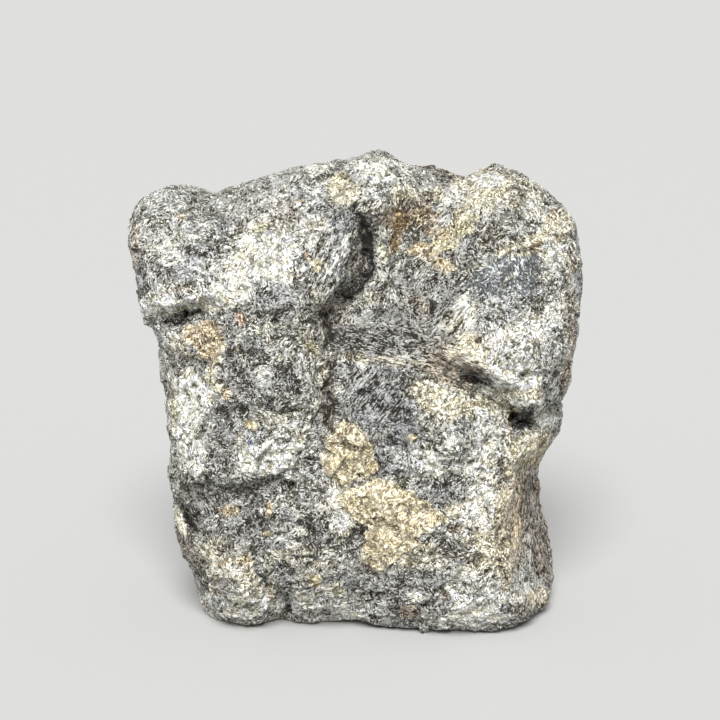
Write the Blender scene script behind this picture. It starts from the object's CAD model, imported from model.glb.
"""Rough labradorite: the broken, sparkling surface of the stone, its pale floor, its light and its camera.

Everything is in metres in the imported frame: the stone stands on z = 0 and its broad broken face looks
along -Y. The stone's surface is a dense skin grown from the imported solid. Chips, fibres, plates, cracks,
veins and pits are pressed into it, and each kind of mineral is painted on it as a soft patch. The material
breaks the patches up into bright flakes, strokes, hairs, specks and dark gaps.
"""

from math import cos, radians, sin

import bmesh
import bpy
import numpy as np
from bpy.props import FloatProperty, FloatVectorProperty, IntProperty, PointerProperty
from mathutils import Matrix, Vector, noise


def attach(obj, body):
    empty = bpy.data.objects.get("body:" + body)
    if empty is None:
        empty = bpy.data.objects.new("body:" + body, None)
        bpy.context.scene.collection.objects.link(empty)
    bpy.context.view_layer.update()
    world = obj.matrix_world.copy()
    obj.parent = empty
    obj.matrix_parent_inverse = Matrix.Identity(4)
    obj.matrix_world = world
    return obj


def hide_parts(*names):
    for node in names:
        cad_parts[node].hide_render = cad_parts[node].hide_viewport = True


bl_info = {
    "name": "Rough Labradorite",
    "version": (1, 0, 0),
    "blender": (4, 5, 0),
    "location": "View3D > Sidebar > Labradorite",
    "description": "Dresses a rough block of labradorite and sets up its studio",
    "category": "Object",
}

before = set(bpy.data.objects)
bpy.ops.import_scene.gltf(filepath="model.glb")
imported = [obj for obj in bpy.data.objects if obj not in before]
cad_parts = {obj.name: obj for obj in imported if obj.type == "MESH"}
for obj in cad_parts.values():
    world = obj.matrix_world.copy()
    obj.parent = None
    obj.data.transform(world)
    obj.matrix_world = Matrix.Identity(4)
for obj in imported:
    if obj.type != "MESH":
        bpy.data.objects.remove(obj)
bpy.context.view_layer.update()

MM = 0.001
STONE_NODE = "labradorite_stone"

AIM = Vector((0.6, 0.0, 54.6)) * MM  # what the camera looks at
FACE_Y = -25.0  # the plane that the broken face lies near, in millimetres
FLOOR_RADIUS = 9.0
KEY_DIRECTION = Vector((0.04, 0.92, -1.0))
KEY_SOFTNESS = radians(28.0)

# The skin. A facing is the cosine between a surface and the line of sight
MERGE_DISTANCE = 0.001 * MM
FINE_FACING = 0.12  # faces that look more towards the camera than this are split
FINE_ABOVE = 1.0 * MM
TURNED_AWAY = -0.05  # the facing at which what belongs to the broken face ends
IN_VIEW = 0.25  # the facing at which it is whole
FOOT_RISE = (0.05, 1.25)  # from no relief at the foot to all of it, in millimetres above the floor


def paint(red, green, blue):
    """A colour as a painter's card shows it, from 0 to 255, made linear."""
    return tuple(((channel / 255 + 0.055) / 1.055) ** 2.4 for channel in (red, green, blue))


# The kinds of mineral: name: (colour, contrast of its flakes, softness of its edge)
FINISHES = {
    "grey": (paint(162, 160, 148), 1.15, 0.5),
    "silver": (paint(206, 207, 202), 0.74, 0.5),
    "white": (paint(240, 238, 224), 0.40, 0.5),
    "charcoal": (paint(64, 63, 58), 1.5, 0.5),
    "blue grey": (paint(116, 120, 123), 1.12, 0.5),
    "olive": (paint(116, 111, 90), 1.0, 0.5),
    "cream": (paint(214, 205, 178), 0.50, 0.5),
    "ochre": (paint(192, 179, 147), 0.37, 0.16),
    "rust": (paint(150, 128, 98), 0.95, 0.5),
    "moss": (paint(94, 90, 70), 1.2, 0.5),
    "blue black": (paint(66, 70, 80), 1.5, 0.5),
    "tan": (paint(186, 166, 132), 0.6, 0.3),
    "yellow": (paint(202, 192, 152), 0.72, 0.4),
    "amber": (paint(138, 114, 72), 0.6, 0.4),
    "brown": (paint(90, 74, 50), 1.15, 0.5),
    "soot": (paint(28, 24, 20), 0.9, 0.5),
    "slate": (paint(98, 103, 106), 0.36, 0.25),
    "blue": (paint(104, 110, 132), 0.6, 0.4),
    "pink": (paint(182, 150, 126), 0.5, 0.3),
}

# What the unseen sides are made of: (finish, share of the surface)
WILD_FINISHES = (
    ("grey", 0.30), ("silver", 0.20), ("charcoal", 0.14), ("cream", 0.10), ("blue grey", 0.09),
    ("olive", 0.08), ("ochre", 0.05), ("white", 0.04),
)

# Patches of the broken face as the camera sees them: (name, finish, x, z, half width, half height, turn in
# degrees, strength), in millimetres where the line of sight meets the plane of the face. A later patch
# lies over an earlier one, so the large ones come first and the small ones last
PATCHES = (
    ("pale foot", "white", 2, 11.5, 40, 4, 0, 0.5),
    ("cap of the far left lobe", "silver", -36.5, 91.5, 4.5, 3, 0, 0.65),
    ("warm rim of the far left lobe", "rust", -42.5, 83.5, 0.8, 5, 0, 0.6),
    ("grey band of the far left lobe", "blue grey", -33, 80.5, 6.5, 3.5, 10, 0.7),
    ("dark of the grey band", "charcoal", -32.5, 78, 4.5, 1.4, 6, 0.6),
    ("pale lower lobe", "silver", -36.5, 73.5, 3.5, 2.5, 0, 0.9),
    ("dark ground between the lobes", "charcoal", -26, 84, 3, 3, 45, 0.6),
    ("olive ground between the lobes", "olive", -24, 88, 2.5, 1.5, 20, 0.75),
    ("grey top band", "grey", -19.5, 91.5, 5.5, 2.5, 20, 0.75),
    ("white top band", "silver", -11, 93, 7, 2.5, 12, 0.9),
    ("yellow crest", "yellow", -3, 94.5, 2.5, 3, 0, 0.9),
    ("grey swirl of the nose", "blue grey", -7, 90.5, 2.5, 1.7, 20, 0.7),
    ("bright bulge", "white", -18, 81, 7.5, 6, 18, 1),
    ("silver right of the bulge", "silver", -11, 79.5, 2.5, 1.6, 0, 0.7),
    ("dark skirt of the bulge", "blue grey", -15.5, 73, 5.5, 3, -8, 0.85),
    ("band over the left crack", "white", -26, 73, 6, 2.5, 16, 1),
    ("warm fold of the lobe", "rust", -34, 74.5, 4, 0.8, 4, 0.7),
    ("silver wall of the nose", "silver", -3.5, 82.5, 3, 6.5, -18, 1),
    ("blue of the nose wall", "blue grey", -3, 87, 1.7, 2.5, -15, 0.6),
    ("soot under the nose", "soot", -2, 75, 2.5, 1.8, 30, 0.7),
    ("brown of the valley", "brown", -5.5, 68.5, 2.5, 3, 0, 0.7),
    ("white knob", "white", 5, 98, 5, 2, 0, 0.8),
    ("silver of the knob", "silver", 5.5, 94, 4.5, 2.5, 0, 0.6),
    ("olive round the eye", "olive", 7, 92, 2.5, 1.3, 0, 0.6),
    ("grey shard", "blue grey", 3, 88, 1.7, 2.5, 0, 0.75),
    ("beige slope", "cream", 3.5, 82, 3, 1.9, 8, 0.7),
    ("amber recess", "amber", 8, 88.5, 3, 2.5, 0, 1),
    ("upper ochre crystals", "ochre", 13, 82.5, 3.5, 1.5, 4, 1),
    ("lower ochre crystals", "ochre", 16.5, 79.5, 2.5, 1.6, -12, 1),
    ("yellow green slope", "yellow", 17.5, 84.5, 3, 2, 30, 0.9),
    ("rusty slope", "rust", 12, 91, 2.5, 2.5, 0, 0.6),
    ("dark top behind the crest", "brown", 15.5, 98, 6, 1.3, -20, 0.95),
    ("cream hump", "cream", 23.5, 94, 5.5, 4, 10, 0.9),
    ("white crown of the hump", "white", 25, 96, 3, 1.5, 0, 0.6),
    ("silver right of the hump", "white", 33.5, 91, 3.5, 2.5, -30, 0.8),
    ("tan side of the hump", "cream", 38, 87.5, 3, 4, 0, 0.9),
    ("olive band under the hump", "olive", 26, 85, 4, 2.5, 40, 0.75),
    ("dark slate streak", "charcoal", 21.5, 83.5, 1.3, 3, -30, 0.75),
    ("slate ground", "blue grey", 29, 76, 8.5, 4, 12, 0.85),
    ("white under the slate", "white", 33.5, 68, 4, 2, 0, 0.6),
    ("dark specks of the rim", "charcoal", 38.5, 76.5, 1.9, 1.6, 0, 0.5),
    ("rim of the right side", "rust", 41.5, 73, 1.4, 10, 0, 0.6),
    ("dark rim of the bulge", "rust", 41, 58.5, 1.2, 6, -10, 0.6),
    ("white right bulge", "white", 31, 63.5, 7, 6.5, 0, 0.85),
    ("golden fibres", "cream", 22, 63, 4, 3, -20, 0.9),
    ("dark slate wedge", "charcoal", 17, 71.5, 2.5, 4.5, -45, 0.75),
    ("dish", "grey", 8.5, 76, 8.5, 4.5, 10, 0.7),
    ("rusty middle of the dish", "rust", 11.5, 70.5, 2.5, 3.5, 0, 0.6),
    ("warm left of the dish", "cream", 2.5, 73.5, 2.5, 1.6, 20, 0.45),
    ("pale fibres", "cream", 5.5, 60.5, 8.5, 1.2, -8, 0.5),
    ("brown fibres", "brown", 16, 62.5, 4.5, 2.5, -12, 0.7),
    ("golden rim of the hole", "tan", 30, 50.5, 0.8, 5.5, 0, 1),
    ("pale shelf", "tan", 36, 43, 3.5, 3.5, -10, 0.9),
    ("blue dark", "blue black", 4, 55.5, 5, 4.5, 20, 0.9),
    ("first black core", "charcoal", 2.5, 56, 2, 1.8, 45, 0.8),
    ("grey below the blue", "blue grey", 4, 49.5, 5.5, 3.5, 0, 0.9),
    ("grey left of the blue", "blue grey", -1.5, 59, 2.5, 1.8, 0, 0.7),
    ("bright top of the lower right lobe", "cream", 16.5, 53, 6.5, 2.5, -24, 0.95),
    ("white lower right lobe", "white", 26.5, 48, 3.5, 2.5, -10, 0.7),
    ("olive blotch", "olive", 13.5, 46.5, 4.5, 1.6, 0, 0.7),
    ("lower blue grey", "blue grey", 7.5, 41.5, 4, 4.5, 0, 0.9),
    ("dark of the lower blue", "charcoal", 6, 36.5, 2, 1.7, -20, 0.6),
    ("white burst", "white", 14, 39.5, 1.6, 2.5, -20, 0.95),
    ("grey tongue", "blue grey", 16, 31.5, 1.8, 3, 40, 0.9),
    ("white lobe", "white", 25.5, 42, 3.5, 6, 0, 0.65),
    ("cream lobe", "cream", 21, 31, 4, 2.5, 0, 0.9),
    ("warm lobe", "cream", 27, 26, 5, 10, 0, 0.6),
    ("tan tail", "tan", 3.5, 22, 2, 3.5, 0, 0.9),
    ("grey boulder", "moss", -2, 28.5, 4, 4, 0, 0.75),
    ("dark left of the boulder", "charcoal", -9.5, 26, 3, 2.5, -20, 0.65),
    ("lower flakes of the boulder", "silver", -4.5, 20.5, 3, 1.1, 10, 0.7),
    ("blue flakes", "silver", -15.5, 29.5, 1.8, 1.7, 0, 0.9),
    ("dark streak", "charcoal", -20.5, 30.5, 1.4, 3.5, -40, 0.9),
    ("tan hollow", "tan", -25.5, 29.5, 2.5, 1.7, 20, 0.9),
    ("second dark mass", "charcoal", -17, 22.5, 2.5, 1.3, 0, 0.9),
    ("grey under the hollow", "grey", -29, 26.5, 3.5, 1.3, -10, 0.6),
    ("mossy side under the brow", "moss", -32, 33, 4.5, 3.5, 0, 0.95),
    ("mossy left side", "moss", -34.5, 32, 2.5, 5.5, 0, 0.8),
    ("dark pepper", "charcoal", -31, 29, 4, 1.3, 0, 0.7),
    ("body of the bottom left block", "cream", -26.5, 19, 6, 6, 0, 0.7),
    ("rusty bottom left", "rust", -29, 14, 3, 2, 0, 0.65),
    ("white heart of the block", "white", -23.5, 16, 2, 2.5, 0, 0.7),
    ("dark foot of the block", "charcoal", -25.5, 9.5, 4.5, 1.5, -4, 0.5),
    ("charcoal cluster", "soot", -15, 17.5, 1.8, 1.9, 0, 0.85),
    ("second soot of the foot", "soot", 7, 9, 1.6, 1.9, 0, 0.7),
    ("dark right of the foot", "charcoal", 15.5, 16, 1.8, 2, 0, 0.65),
    ("white flakes of the foot", "silver", 3.5, 9.5, 2.5, 1.3, -10, 0.8),
    ("cream step of the foot", "cream", 9.5, 19, 3, 1.1, -8, 0.8),
    ("dark patch of the toe", "charcoal", 16, 22, 4.5, 1.7, -8, 0.9),
    ("rusty flank", "rust", 36, 30, 1.8, 12.5, 2, 0.8),
    ("grey foot of the flank", "grey", 38.5, 14.5, 1.6, 6, 0, 0.8),
    ("beige disc", "ochre", -28, 59.5, 1.9, 1.8, 0, 0.7),
    ("charcoal column", "charcoal", -25, 63, 1.7, 4, 8, 0.85),
    ("green disc", "yellow", -28.5, 56, 2.5, 2, 0, 0.75),
    ("white strokes", "white", -31, 51.5, 3, 5, -22, 0.95),
    ("charcoal ground", "charcoal", -25, 50, 3.5, 2.5, 0, 0.9),
    ("grey of the block", "grey", -17, 64, 4.5, 3, 0, 0.7),
    ("green middle of the block", "cream", -16, 46.5, 4.5, 3.5, 0, 0.75),
    ("yellow left edge", "yellow", -36, 53, 0.8, 6, 0, 0.9),
    ("white left edge", "white", -34.5, 45, 2.5, 3.5, 0, 0.8),
    ("brown right of the ridge", "brown", -5.5, 53, 1.6, 7, 0, 0.85),
    ("silver right of the block", "silver", -10.5, 44.5, 3, 3, 0, 0.5),
    ("grey right of the plates", "grey", -10.5, 34, 3, 2, 0, 0.5),
    ("bright right rim", "white", 36.5, 80, 2.5, 5, 0, 0.45),
    ("pale rim of the bulge", "silver", 38.5, 64, 1.9, 5, 0, 0.7),
    ("pale ground under the band", "silver", -25, 88, 2.5, 4, 0, 0.5),
    ("pale ground left of the bulge", "silver", -30, 79, 4, 4, 0, 0.85),
    ("pale fold over the crack", "silver", -32.5, 73.5, 4, 1.6, 10, 0.9),
    ("brow band right", "white", -13.5, 45.5, 5, 3.5, 20, 0.9),
    ("dark under the brow", "charcoal", -23, 34.5, 8, 3, 4, 0.65),
    ("dark left flank of the block", "moss", -34.5, 22.5, 2.5, 4, 20, 0.9),
    ("pale step right of the boulder", "cream", -3, 27.5, 2.5, 3, 0, 0.9),
    ("pale lobe shoulder", "white", 22.5, 42, 5.5, 5, -20, 0.85),
    ("white under the plates", "cream", 12.5, 20.5, 5, 3, 0, 0.8),
    ("bright foot", "silver", -7.5, 9.5, 8, 2, 0, 0.8),
    ("bright foot of the block", "cream", -22, 12.5, 4.5, 4.5, 0, 0.8),
    ("white band over the nest", "cream", 22, 61, 5, 3, -10, 0.9),
    ("shelf of the bulge", "white", 32, 57, 4.5, 4.5, 0, 0.95),
    ("shelf over the hole", "white", 28, 53.5, 4.5, 2.5, -20, 0.9),
    ("cream of the cleft's foot", "cream", 16.5, 52, 6, 2.5, -16, 0.95),
    ("dish ground", "charcoal", 7, 67.5, 6.5, 4.5, -8, 0.55),
    ("brown of the dish", "brown", 3, 65, 4, 2.5, -12, 0.55),
    ("brown ground of the nest", "rust", 19.5, 58.5, 6.5, 3, -18, 0.85),
    ("brown flank", "brown", 33, 31.5, 1.8, 7.5, 0, 1),
    ("white left of the brow", "white", -32, 42, 3, 3.5, 0, 0.8),
    ("moss corner", "moss", -33.5, 29, 2, 4.5, 0, 0.95),
    ("dark rim of the left block", "charcoal", -36, 57, 1.4, 3.5, 0, 0.6),
    ("dark middle of the block", "charcoal", -20.5, 57, 3.5, 3, 10, 0.65),
    ("dark side of the block", "charcoal", -14.5, 57, 3.5, 3, 0, 0.75),
    ("dark under the block", "charcoal", -26, 46, 3, 2, 0, 0.6),
    ("pale left edge of the block", "white", -33, 53.5, 2.5, 5.5, 0, 0.9),
    ("olive below the crack", "cream", -33, 63.5, 3.5, 2.5, 0, 0.7),
    ("dark foot strip", "charcoal", 7, 13, 6, 3, 0, 0.7),
    ("dark left of the hollow", "charcoal", -8, 25.5, 4, 3.5, 0, 0.7),
    ("dark of the toe", "charcoal", 12.5, 34, 3.5, 2, 0, 0.7),
    ("brown of the foot", "brown", -27, 23.5, 2, 3, 0, 0.6),
    ("dark hump shade", "olive", 30.5, 91, 1.9, 3, -20, 0.6),
    ("green heart of the bulge", "cream", -20, 82, 4, 2.5, 30, 0.6),
    ("white of the bulge's foot", "white", -24, 76, 3.5, 2.5, 20, 0.8),
    ("pale middle of the block", "white", -18.5, 67, 2.5, 2, 0, 0.6),
    ("dark specks of the foot", "soot", -11.5, 14, 2.5, 1.3, 0, 0.6),
    ("first white flakes of the foot", "white", -3, 12, 3, 1.7, 0, 0.8),
    ("second white flakes of the foot", "white", -18.5, 11, 3, 1.7, 0, 0.7),
    ("third white flakes of the foot", "white", 12.5, 11.5, 3, 1.7, 0, 0.7),
    ("white strip of the toe", "white", 21.5, 6, 6, 1.3, 4, 0.9),
    ("cream front of the lobe", "cream", 24, 20.5, 4.5, 4.5, 0, 0.8),
    ("white front of the lobe", "white", 24.5, 31, 3, 5.5, 10, 0.7),
    ("dark rim of the flank", "brown", 36.5, 32, 1.2, 5.5, 0, 0.6),
    ("foot of the flank", "tan", 37, 11, 2.5, 3, 20, 0.6),
    ("first dark of the dish", "charcoal", -2.5, 65, 3, 3, 0, 0.8),
    ("dark below the blue", "blue black", 9, 50.5, 3, 3.5, 0, 0.75),
    ("swirl over the nose", "blue grey", -2.5, 88, 2.5, 2.5, 0, 0.9),
    ("brown rim of the flank", "brown", 38.5, 20.5, 1.6, 6.5, 0, 0.9),
    ("dark hollow by the boulder", "charcoal", -21, 26, 5, 4, 0, 0.75),
    ("silver left of the crack", "white", -39.5, 71.5, 2.5, 2.5, 0, 0.8),
    ("silver over the blue", "silver", 10.5, 41, 3.5, 2.5, 0, 0.7),
    ("cream above the lower plate", "cream", -3, 33, 3, 4, 0, 0.8),
    ("white front of the toe", "white", 22.5, 12.5, 6, 4, 0, 0.7),
    ("white of the brow", "white", -19, 41.5, 6.5, 3, 6, 0.9),
    ("white right foot", "white", 19, 7.5, 9, 2, 0, 0.85),
    ("cream of the hump's right", "cream", 29.5, 94, 4, 2.5, 0, 0.7),
    ("golden streak", "tan", 14, 81.5, 4, 1.2, -40, 0.6),
    ("dark round the amber", "brown", 5, 89, 2.5, 2.5, 0, 0.6),
    ("dark of the white lobe", "charcoal", 21, 39.5, 3, 3.5, 0, 0.65),
    ("second dark of the hollow", "charcoal", -14.5, 27.5, 2.5, 3, 0, 0.7),
    ("dark of the lower block", "charcoal", -3.5, 14.5, 3, 2, 0, 0.8),
    ("dark of the middle foot", "charcoal", 15, 14.5, 3.5, 2.5, 0, 0.85),
    ("dark of the foot's heart", "charcoal", 8, 15, 3, 2, 0, 0.6),
    ("dark front of the lobe", "rust", 21, 15, 2.5, 2, 0, 0.6),
    ("pale left of the crack", "white", -38.5, 71, 3.5, 2, 0, 0.95),
    ("white middle foot", "white", -5.5, 8, 6.5, 2, 0, 0.9),
    ("white left foot", "white", -24.5, 8, 4, 1.5, 0, 0.7),
    ("white heart of the toe", "white", 23, 11.5, 5.5, 2.5, 0, 0.8),
    ("white under the shelf", "cream", 31.5, 39.5, 2.5, 3.5, 0, 0.9),
    ("amber right of the recess", "amber", 12.5, 89, 2.5, 1.9, 20, 0.7),
    ("olive shade of the recess", "brown", 10, 91.5, 2.5, 1.5, 0, 0.6),
    ("tan by the crystals", "tan", 15.5, 86, 2.5, 1.5, 0, 0.7),
    ("dark of the valley's right", "charcoal", 3, 80, 1.5, 2.5, 0, 0.6),
    ("dark below the hole", "charcoal", -32, 28.5, 2.5, 3.5, 0, 0.6),
    ("dark flank of the bottom block", "brown", -33.5, 19.5, 2, 5, 20, 0.8),
    ("dark between the blocks", "charcoal", -24, 22, 3, 2, 0, 0.5),
    ("dark of the brow's left", "charcoal", -26.5, 45, 3, 2.5, 0, 0.7),
    ("brown of the hump", "tan", 36.5, 93, 2.5, 3.5, 30, 0.6),
    ("dark top right", "rust", 38, 91, 1.9, 2.5, 0, 0.5),
    ("pale head of the rim", "cream", 36.5, 84.5, 2.5, 4, 0, 0.9),
    ("grey top right", "grey", 37.5, 92.5, 2.5, 2.5, 0, 0.9),
    ("dark left edge", "charcoal", -42.5, 76, 2.5, 2.5, 0, 0.8),
    ("top of the dish", "charcoal", 10.5, 76, 4, 2.5, -10, 0.5),
    ("grey under the cleavage face", "blue grey", 28, 70, 4.5, 2.5, 0, 0.7),
    ("dark end of the column", "charcoal", -25.5, 58, 2.5, 2.5, 0, 0.75),
    ("dark right of the column", "charcoal", -20, 63.5, 2.5, 2.5, 0, 0.6),
    ("dark left of the nest", "charcoal", -2.5, 58, 2.5, 2.5, 0, 0.8),
    ("dark under the dish", "charcoal", 9.5, 58, 2.5, 2.5, 0, 0.6),
    ("left of the blue dark", "blue black", 0.5, 52, 4.5, 3, 0, 0.7),
    ("white right of the nest", "white", 27.5, 58, 3, 2, 0, 0.8),
    ("dark band over the brow", "blue grey", -20.5, 46, 3, 2.5, 0, 0.9),
    ("dark left of the band", "charcoal", -26.5, 40, 3, 2.5, -20, 0.7),
    ("white in the brow", "white", -14.5, 39.5, 3, 2.5, 0, 0.7),
    ("grey in the lobe", "blue grey", 21, 46, 2.5, 2.5, 0, 0.6),
    ("dark right of the upper plate", "blue grey", 4.5, 39, 1.8, 3, 0, 0.9),
    ("white of the lobe's top", "white", 15.5, 39.5, 2.5, 2.5, 0, 0.9),
    ("cream of the shelf", "cream", 33, 41.5, 3, 3, 0, 1),
    ("grey at the toe's top", "blue grey", 16.5, 34, 4.5, 2.5, 0, 0.9),
    ("white left of the lower plate", "white", -3.5, 27.5, 2, 3, 0, 0.9),
    ("white right of the lower plate", "white", 20, 26.5, 3.5, 2.5, 0, 0.7),
    ("beige before the flank", "tan", 30, 26, 2.5, 12.5, 0, 0.55),
    ("tan edge of the flank", "tan", 32.5, 28, 1.2, 10.5, 0, 0.6),
    ("brown side of the flank", "brown", 36.5, 21, 1.8, 6.5, 0, 0.85),
    ("dark right foot", "brown", 39.5, 8, 2.5, 2.5, 0, 0.8),
    ("dark right rim", "charcoal", 42.5, 76, 1.5, 2.5, 0, 0.7),
    ("grey of the toe", "grey", 21.5, 14, 3, 3, 0, 0.6),
    ("dark over the foot", "charcoal", -2.5, 14, 3, 2.5, 0, 0.8),
    ("dark in the foot", "charcoal", 9.5, 8, 3, 2.5, 0, 0.8),
    ("white in the foot", "white", -2.5, 8, 3, 2, 0, 1),
    ("white right in the foot", "white", 22, 8, 3, 2, 0, 1),
    ("white right of the swirl", "cream", -2, 93.5, 2.5, 2.5, 0, 0.8),
    ("white left of the swirl", "white", -8, 87, 2.5, 2.5, 0, 0.7),
    ("cream over the cleavage face", "cream", 31, 83.5, 5, 1.4, 22, 0.9),
    ("white right of the hole", "white", 37, 49.5, 2.5, 2, 0, 1),
    ("white edge of the lobe", "white", -36.5, 82, 2.5, 2.5, 0, 0.8),
    ("grey heart of the lobe", "blue grey", -31, 82, 2.5, 2.5, 0, 0.8),
    ("pale top of the lobe", "silver", -31, 87, 2.5, 2.5, 0, 0.8),
    ("grey left of the lobe", "grey", -37, 87, 1.9, 1.9, 0, 0.6),
    ("grey right of the lobe", "blue grey", -25, 87.5, 2.5, 1.9, 20, 0.6),
    ("white beside the crack", "white", -29.5, 71.5, 4, 1.6, 6, 1),
    ("white beneath the crack", "white", -34, 71.5, 5, 1.4, 6, 1),
    ("dark of the bulge's foot", "charcoal", -14, 70, 2.5, 2, 0, 0.6),
    ("dark top of the dish's right", "charcoal", 15, 76, 2.5, 2.5, 0, 0.7),
    ("dark of the dish's middle", "charcoal", 10, 70, 3.5, 2.5, 0, 0.6),
    ("dark of the dish's left", "charcoal", 3, 63.5, 2.5, 2, 0, 0.7),
    ("dark lower column", "charcoal", -17, 57.5, 5.5, 2.5, 0, 0.6),
    ("white right of the cleavage face", "white", 38, 81.5, 2.5, 2.5, 0, 0.9),
    ("grey of the bulge", "grey", 33, 61.5, 4.5, 3, 0, 0.4),
    ("grey side of the bulge", "blue grey", 38, 54.5, 2, 4.5, 0, 0.6),
    ("cream of the lower cleft", "cream", 26.5, 52, 2.5, 2, -30, 0.9),
    ("grey under the brow's top", "grey", -13, 46, 4.5, 2.5, 0, 0.6),
    ("dark under the blue dark", "blue black", 9.5, 45.5, 3, 3, 0, 1),
    ("grey of the lobe's top", "blue grey", 21, 39.5, 2.5, 2.5, 0, 0.8),
    ("tan under the hole", "tan", 33, 44.5, 3, 1.2, 0, 0.9),
    ("grey of the lower plate's top", "grey", 9.5, 34.5, 3, 1.5, -10, 0.8),
    ("dark under the left brow", "charcoal", -20.5, 27, 2.5, 2.5, 0, 0.8),
    ("dark lower left", "moss", -32.5, 26.5, 2, 3.5, 0, 0.8),
    ("dark left of the strip", "charcoal", -31.5, 15, 2, 3, 0, 0.7),
    ("dark beside the strip", "charcoal", -26, 13.5, 2.5, 2.5, 0, 0.6),
    ("dark of the lower foot", "charcoal", -14.5, 14.5, 2.5, 3, 0, 0.7),
    ("dark under the toe", "charcoal", 15.5, 9.5, 3, 2.5, 0, 0.8),
    ("brown of the right foot", "brown", 34, 8, 3, 2.5, 0, 0.85),
    ("dark of the toe's top", "charcoal", 21.5, 20.5, 2.5, 2.5, 0, 0.6),
    ("dark edge of the far left lobe", "brown", -43, 75, 1.7, 2.5, 0, 0.8),
    ("white of the cleft's lip", "cream", 30.5, 53, 3, 1.8, -35, 1),
    ("pale lip of the nest", "cream", 22, 53, 3, 1.6, -25, 1),
    ("dark of the toe's head", "charcoal", 17.5, 33.5, 4.5, 2.5, 0, 0.8),
    ("dark of the column's foot", "charcoal", -14, 58, 2.5, 2.5, 0, 0.7),
    ("dark of the brow's foot", "charcoal", -21, 27.5, 2.5, 2.5, 0, 0.6),
    ("dark beside the upper plate", "charcoal", 5.5, 40, 1.8, 2.5, 0, 0.6),
    ("white corner of the hump", "white", 18, 93, 2.5, 1.9, 20, 0.7),
    ("brown right of the nest's foot", "brown", 21.5, 58, 5, 2.5, -22, 0.75),
    ("brown gap of the valley", "brown", 1, 82.5, 2.5, 6, -6, 0.85),
    ("soot gap of the valley", "soot", 1.5, 83.5, 1.1, 5, -4, 0.9),
    ("soot gap under the nose", "soot", -1.5, 76, 1.7, 1.8, 30, 0.7),
    ("brown gap of the dish", "brown", -4.5, 70.5, 2.5, 3.5, -10, 0.8),
    ("soot gap of the dish", "soot", -5, 67.5, 1.2, 3, 0, 0.7),
    ("brown gap right of the block", "brown", -5.5, 54.5, 1.4, 7, 0, 0.7),
    ("black hole", "soot", 32.5, 47.5, 2, 1.6, 0, 1),
    ("cream beside the cleft's end", "cream", 32.5, 53, 2.5, 1.8, -35, 1),
    ("white heart of the foot's right", "white", 28, 8, 3, 2, 0, 0.9),
    ("white foot of the top", "white", -7.5, 98.5, 2.5, 1.5, 10, 0.8),
    ("white of the lobe's heart", "white", 21.5, 39, 3, 2.5, 0, 0.8),
    ("white of the brow's heart", "white", -20.5, 39, 3, 2.5, 0, 0.9),
    ("white left of the upper plate", "white", -4, 33, 2, 2.5, 0, 0.8),
    ("dark at the strip's left", "charcoal", -26, 26.5, 3, 2.5, 0, 0.7),
    ("dark heart of the dish's foot", "charcoal", 6, 64.5, 6, 2.5, 6, 1),
    ("yellow right of the crystals", "yellow", 20.5, 88, 2.5, 2.5, 0, 0.9),
    ("olive left of the crystals' top", "cream", 9, 93.5, 2.5, 1.9, 0, 0.8),
    ("white over the crack's end", "white", -31, 72, 2.5, 1.6, 6, 1),
    ("white rim of the bulge", "white", 38, 70, 2.5, 2.5, 0, 0.8),
    ("golden white of the bulge", "white", 20.5, 70, 2.5, 2.5, 0, 0.7),
    ("cream top of the cleavage face", "cream", 32, 82.5, 2.5, 1.9, 22, 0.9),
    ("white heart of the bulge's top", "white", -19.5, 82, 2.5, 2.5, 0, 0.7),
    ("dark brown of the flank", "soot", 34.5, 30.5, 1.8, 7.5, 0, 0.4),
    ("white over the slot", "white", 34, 53, 3, 1.6, 0, 1),
    ("tan heart of the shelf", "tan", 33.5, 42, 2.5, 2.5, 0, 0.9),
    ("dark left rim of the lobe", "charcoal", -43, 76.5, 1.5, 2.5, 0, 0.7),
    ("dark under the column", "charcoal", -20.5, 63.5, 2.5, 2.5, 0, 0.7),
    ("heart of the grey band", "charcoal", -30.5, 82, 1.7, 1.2, 20, 0.55),
    ("tan spot of the cap", "tan", -33.5, 89, 0.8, 0.8, 0, 0.9),
    ("notch between the lobes", "moss", -31, 92.5, 1.5, 0.8, 40, 0.9),
    ("yellow green under the top band", "yellow", -18.5, 87, 2.5, 0.8, 10, 0.8),
    ("brown spots of the top", "brown", -12.5, 90.5, 1, 1.7, 20, 0.8),
    ("tan spot of the top", "tan", -10.5, 92, 0.6, 0.4, 0, 0.95),
    ("rusty spot of the top", "rust", -14.5, 91, 1, 0.8, 0, 0.7),
    ("white edge of the crest", "white", 0, 99, 1.9, 1.3, 0, 0.5),
    ("white crystal", "white", -8.5, 84, 1.3, 1.5, -40, 1),
    ("brown by the crystal", "tan", -9.5, 81.5, 0.8, 1.2, 0, 0.8),
    ("dark under the crystal", "charcoal", -7.5, 82.5, 0.8, 0.6, 0, 0.8),
    ("tan chip", "ochre", -7.5, 79.5, 1.2, 1.4, -20, 1),
    ("dark heart of the skirt", "charcoal", -14.5, 73, 1.7, 1.2, 0, 0.8),
    ("dark right of the skirt", "charcoal", -11, 75, 1.7, 1, -20, 0.7),
    ("ochre lip of the crack", "yellow", -33.5, 71, 1.2, 0.6, 10, 1),
    ("pink chip", "pink", -22.5, 69, 1, 1.4, 0, 1),
    ("dark round the pink chip", "charcoal", -25, 68.5, 1.5, 1.6, 0, 0.85),
    ("dark dot by the crack", "charcoal", -29.5, 69, 0.8, 0.6, 0, 0.9),
    ("orange seam", "amber", 1, 88, 0.5, 2.5, 0, 0.95),
    ("brown spot under the knob", "brown", 3, 90.5, 1, 0.8, 0, 0.85),
    ("green eye", "moss", 8.5, 91.5, 0.8, 0.8, 0, 1),
    ("dark under the shard", "charcoal", 3.5, 85, 1.1, 1, 0, 0.7),
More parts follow.
